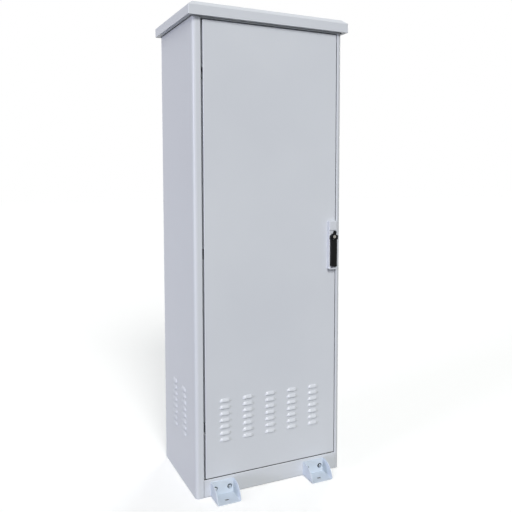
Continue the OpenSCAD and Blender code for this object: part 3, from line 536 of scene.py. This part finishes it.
def footBoltMesh(look):
    shape = bmesh.new()
    nutEnd = -look["grip"] - look["nut"]
    end = nutEnd - look["tail"]
    hexBlock(shape, look, 0, look["head"])
    hexBlock(shape, look, nutEnd, -look["grip"])
    closedRings(shape, [
        evenRing(shape, look["shank"] * look["tip"], end, look["sides"]),
        evenRing(shape, look["shank"], end + look["tipLength"], look["sides"]),
        evenRing(shape, look["shank"], look["overlap"], look["sides"]),
    ])
    return shapeMesh("footBolt", shape, look)


def footBoltSpots(look):
    spots = []
    for foot in look["feet"]:
        for side in (-1, 1):
            for face in (-1, 1):
                place = (foot + side * look["span"] / 2, face * look["face"], look["height"])
                spots.append((place, (-face * math.pi / 2, 0, 0)))
    return spots


rearScrewLook = {
    "profile": ((0.005, 0), (0.00496, 0.0008), (0.0045, 0.0017), (0.0036, 0.0023), (0.0026, 0.0026)),
    "socket": 0.002, "sink": 0.0015, "sides": 36, "weld": 0.000001, "sharp": 32,
    "reach": 0.3375, "face": 0.2515, "low": 0.122, "step": 0.3812, "count": 6,
}


def rearScrewMesh(look):
    shape = bmesh.new()
    sides = look["sides"]
    rings = [evenRing(shape, radius, height, sides) for radius, height in look["profile"]]
    top = look["profile"][-1][1]
    socket = hexRadii(2 * look["socket"] * math.cos(math.pi / 6), sides)
    for height in (top, top - look["sink"]):
        rings.append(ringOf(shape, socket, [height] * sides))
    closedRings(shape, rings)
    return shapeMesh("rearScrew", shape, look)


def rearScrewSpots(look):
    spots = []
    for side in (-1, 1):
        for k in range(look["count"]):
            place = (side * look["reach"], look["face"], look["low"] + k * look["step"])
            spots.append((place, (-math.pi / 2, 0, 0)))
    return spots


boltSpots = footBoltSpots(footBoltLook)
boltShape = footBoltMesh(footBoltLook)
boltPiece = spreadPiece("footBolts", boltShape, boltSpots, boltSteel, "cabinet")
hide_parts("anchor_bolts")
screwSpots = rearScrewSpots(rearScrewLook)
screwShape = rearScrewMesh(rearScrewLook)
screwPiece = spreadPiece("rearScrews", screwShape, screwSpots, zinc, "cabinet")
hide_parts("rear_panel_screws")
print("fasteners set out:", len(boltSpots) + len(screwSpots))


# folded and moulded pieces with real edge radii

plainEdge = {"weld": 0.00001, "flat": 0.4, "segments": 2, "angle": 40, "sharp": 35, "flatness": 100}
foldEdge = {**plainEdge, "weld": 0.00002, "width": 0.0004}
roofEdge = {**plainEdge, "weld": 0.00002, "width": 0.0014, "segments": 3, "angle": 25, "sharp": 24}
castEdge = {**plainEdge, "width": 0.0005, "angle": 35}
plateEdge = {**plainEdge, "width": 0.0006}
turnedEdge = {**plainEdge, "width": 0.0003}
edgeOfNode = {
    "left_side_panel": foldEdge, "right_side_panel": foldEdge, "door_skin": foldEdge,
    "bottom_front_rail": foldEdge, "bottom_rear_rail": foldEdge, "front_header": foldEdge,
    "rear_panel": foldEdge, "roof_canopy": roofEdge,
    "handle_housing": castEdge, "handle_lever": castEdge, "handle_hub": turnedEdge,
    "lock_dust_cover": castEdge, "lock_cylinder": turnedEdge, "lock_plug": turnedEdge,
    "anchor_washers": turnedEdge,
    "anchor_foot_front_left": plateEdge, "anchor_foot_front_right": plateEdge,
    "anchor_foot_rear_left": plateEdge, "anchor_foot_rear_right": plateEdge,
    "cable_grommets": castEdge, "door_gasket": castEdge,
}


def cutHoods(sheet, rows, look):  # takes the plain hoods off the sheet
    halfLength = rows["length"] / 2 + look["margin"]
    halfHeight = look["height"] / 2 + look["margin"]
    back = Matrix.Rotation(-rows["turn"], 3, "Z")
    spots = hoodSpots(rows)

    def onHood(face, spot):
        if abs(face.verts[0].co.z - spot.z) > halfHeight:
            return False
        places = [back @ (corner.co - spot) for corner in face.verts]
        outward = [place.y for place in places]
        inside = all(abs(place.x) < halfLength and abs(place.z) < halfHeight for place in places)
        return inside and min(outward) < -look["proud"] and max(outward) < look["level"]

    hoods = [face for face in sheet.faces if any(onHood(face, spot) for spot in spots)]
    bmesh.ops.delete(sheet, geom=hoods, context="FACES")


def closeSheet(data):  # the sheet is closed again under each hood's foot
    sheet = bmesh.new()
    sheet.from_mesh(data)
    fillRims(sheet)
    sheet.to_mesh(data)
    sheet.free()


def softPiece(nodeName, edge):
    source = bmesh.new()
    source.from_mesh(nodes[nodeName].data)
    bmesh.ops.remove_doubles(source, verts=source.verts, dist=edge["weld"])
    if nodeName in louvreRows:
        cutHoods(source, louvreRows[nodeName], hoodLook)
    level = math.radians(edge["flat"])
    bmesh.ops.dissolve_limit(source, angle_limit=level, verts=source.verts, edges=source.edges)
    first, *others = nodeName.split("_")
    data = bpy.data.meshes.new(first + "".join(word.title() for word in others) + "Soft")
    source.to_mesh(data)
    source.free()
    piece = bpy.data.objects.new(data.name, data)
    bpy.context.scene.collection.objects.link(piece)
    data.materials.clear()
    data.materials.append(finishOfNode[nodeName])
    bevel = piece.modifiers.new("edge", "BEVEL")
    bevel.width = edge["width"]
    bevel.segments = edge["segments"]
    bevel.limit_method = "ANGLE"
    bevel.angle_limit = math.radians(edge["angle"])
    bevel.use_clamp_overlap = True
    data = plainMesh(piece)
    if nodeName in louvreRows:
        closeSheet(data)
    shadeSmooth(data, edge["sharp"])
    weighted = piece.modifiers.new("flatFaces", "WEIGHTED_NORMAL")  # keeps the large flats flat
    weighted.keep_sharp = True
    weighted.weight = edge["flatness"]
    plainMesh(piece)
    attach(piece, bodyOfNode[nodeName])
    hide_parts(nodeName)


for nodeName, edge in edgeOfNode.items():
    softPiece(nodeName, edge)
print("softened", len(edgeOfNode), "pieces")


# stage, camera and light

def seenRays(tree):  # what the camera sees, also in a reflection
    path = tree.nodes.new("ShaderNodeLightPath")
    seen = path.outputs["Is Camera Ray"]
    for kind in ("Is Glossy Ray", "Is Transmission Ray"):
        seen = computed(tree, "MAXIMUM", seen, path.outputs[kind])
    return seen


floorLook = {
    "reach": 30, "drop": 0.0005, "tone": (0.9, 0.9, 0.9), "rough": 0.9,
    "bounce": (0.16, 0.16, 0.16), "lift": 0.21,  # the lift brings the floor to white
}


def addFloor(look):
    reach = look["reach"]
    corners = [(-reach, -reach, 0), (reach, -reach, 0), (reach, reach, 0), (-reach, reach, 0)]
    data = bpy.data.meshes.new("floor")
    data.from_pydata(corners, [], [(0, 1, 2, 3)])
    floor = bpy.data.objects.new("floor", data)
    floor.location.z = -look["drop"]
    bpy.context.scene.collection.objects.link(floor)
    material, tree, shader, where = startMaterial("paleFloor")
    seen = seenRays(tree)
    lift = mapped(tree, seen, 0, look["lift"], 0, 1)
    tree.links.new(blended(tree, seen, look["bounce"], look["tone"]), shader.inputs["Base Color"])
    tree.links.new(lift, shader.inputs["Emission Strength"])
    shader.inputs["Emission Color"].default_value = (1, 1, 1, 1)
    shader.inputs["Roughness"].default_value = look["rough"]
    shader.inputs["Specular IOR Level"].default_value = 0
    data.materials.append(material)


# painted shade: the sheet under the feet takes a dark rubber tone
slotShadeLook = {**rubberLook, "gloss": 0, "inset": 0.006, "drop": 0.0003}


def addFootSlotShade(look):  # painted shade: a dark sheet under each foot, so that the ground seen through the slots of the feet looks shadowed
    corners, faces = [], []
    for name in nodes:
        if name.startswith("anchor_foot"):
            low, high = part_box(name)
            x0, y0 = low[0] + look["inset"], low[1] + look["inset"]
            x1, y1 = high[0] - look["inset"], high[1] - look["inset"]
            faces.append(range(len(corners), len(corners) + 4))
            corners += [(x, y, -look["drop"]) for x, y in ((x0, y0), (x1, y0), (x1, y1), (x0, y1))]
    data = bpy.data.meshes.new("footGround")
    data.from_pydata(corners, [], faces)
    shadeSheet = bpy.data.objects.new("footGround", data)
    bpy.context.scene.collection.objects.link(shadeSheet)
    data.materials.append(makeMoulded("shadedGround", look))


cameraLook = {
    "sensor": 36, "lens": 46.003, "shift": (-0.13136, -0.06247), "far": 60,
    "place": (-1.14958, -2.90486, 1.40036),
    "turn": (27.9823, -4.3051, 0.3386),  # yaw, pitch and roll in degrees
}


def addCamera(look):
    camera = bpy.data.objects.new("photoCamera", bpy.data.cameras.new("photoCamera"))
    bpy.context.scene.collection.objects.link(camera)
    camera.data.sensor_width = look["sensor"]
    camera.data.lens = look["lens"]
    camera.data.shift_x, camera.data.shift_y = look["shift"]
    camera.data.clip_end = look["far"]
    yaw, pitch, roll = (math.radians(angle) for angle in look["turn"])
    flat = math.cos(pitch)
    ahead = Vector((math.sin(yaw) * flat, math.cos(yaw) * flat, math.sin(pitch)))
    level = Vector((math.cos(yaw), -math.sin(yaw), 0))
    rise = level.cross(ahead)
    right = level * math.cos(roll) + rise * math.sin(roll)
    up = rise * math.cos(roll) - level * math.sin(roll)
    turn = Matrix((right, up, -ahead)).transposed().to_4x4()
    camera.matrix_world = Matrix.Translation(look["place"]) @ turn
    bpy.context.scene.camera = camera


worldLook = {"tone": (0.98, 1.015, 1.005), "strength": 0.345}


def addWorld(look):  # a soft glow on the cabinet, plain white where the background is seen
    world = bpy.data.worlds.new("studio")
    bpy.context.scene.world = world
    world.use_nodes = True
    tree = world.node_tree
    glow = tree.nodes["Background"]
    glow.inputs["Color"].default_value = (*look["tone"], 1)
    glow.inputs["Strength"].default_value = look["strength"]
    white = tree.nodes.new("ShaderNodeBackground")
    white.inputs["Color"].default_value = (1, 1, 1, 1)
    choice = tree.nodes.new("ShaderNodeMixShader")
    tree.links.new(seenRays(tree), choice.inputs["Fac"])
    tree.links.new(glow.outputs["Background"], choice.inputs[1])
    tree.links.new(white.outputs["Background"], choice.inputs[2])
    tree.links.new(choice.outputs["Shader"], tree.nodes["World Output"].inputs["Surface"])


sunLooks = {  # spread in degrees, ahead is the way the light goes
    "keySun": {"power": 2.17, "spread": 24, "tint": (1.012, 1.006, 0.982), "ahead": (0.17, 0.79, -0.58)},
    "sideSun": {"power": 1.15, "spread": 14, "tint": (0.935, 0.93, 1.135), "ahead": (0.94, 0.3, -0.1)},
    "rearSun": {"power": 1.3, "spread": 20, "tint": (0.98, 1, 1.02), "ahead": (-0.58, -0.77, -0.26)},
}


def addSoftSun(name, look):
    lamp = bpy.data.objects.new(name, bpy.data.lights.new(name, "SUN"))
    bpy.context.scene.collection.objects.link(lamp)
    lamp.data.energy = look["power"]
    lamp.data.angle = math.radians(look["spread"])
    lamp.data.color = look["tint"]
    lamp.rotation_euler = Vector(look["ahead"]).to_track_quat("-Z", "Y").to_euler()


addFloor(floorLook)
addFootSlotShade(slotShadeLook)
addCamera(cameraLook)
addWorld(worldLook)
for name, look in sunLooks.items():
    addSoftSun(name, look)
bpy.context.scene.view_settings.view_transform = "Standard"
print("stage, camera and light set")
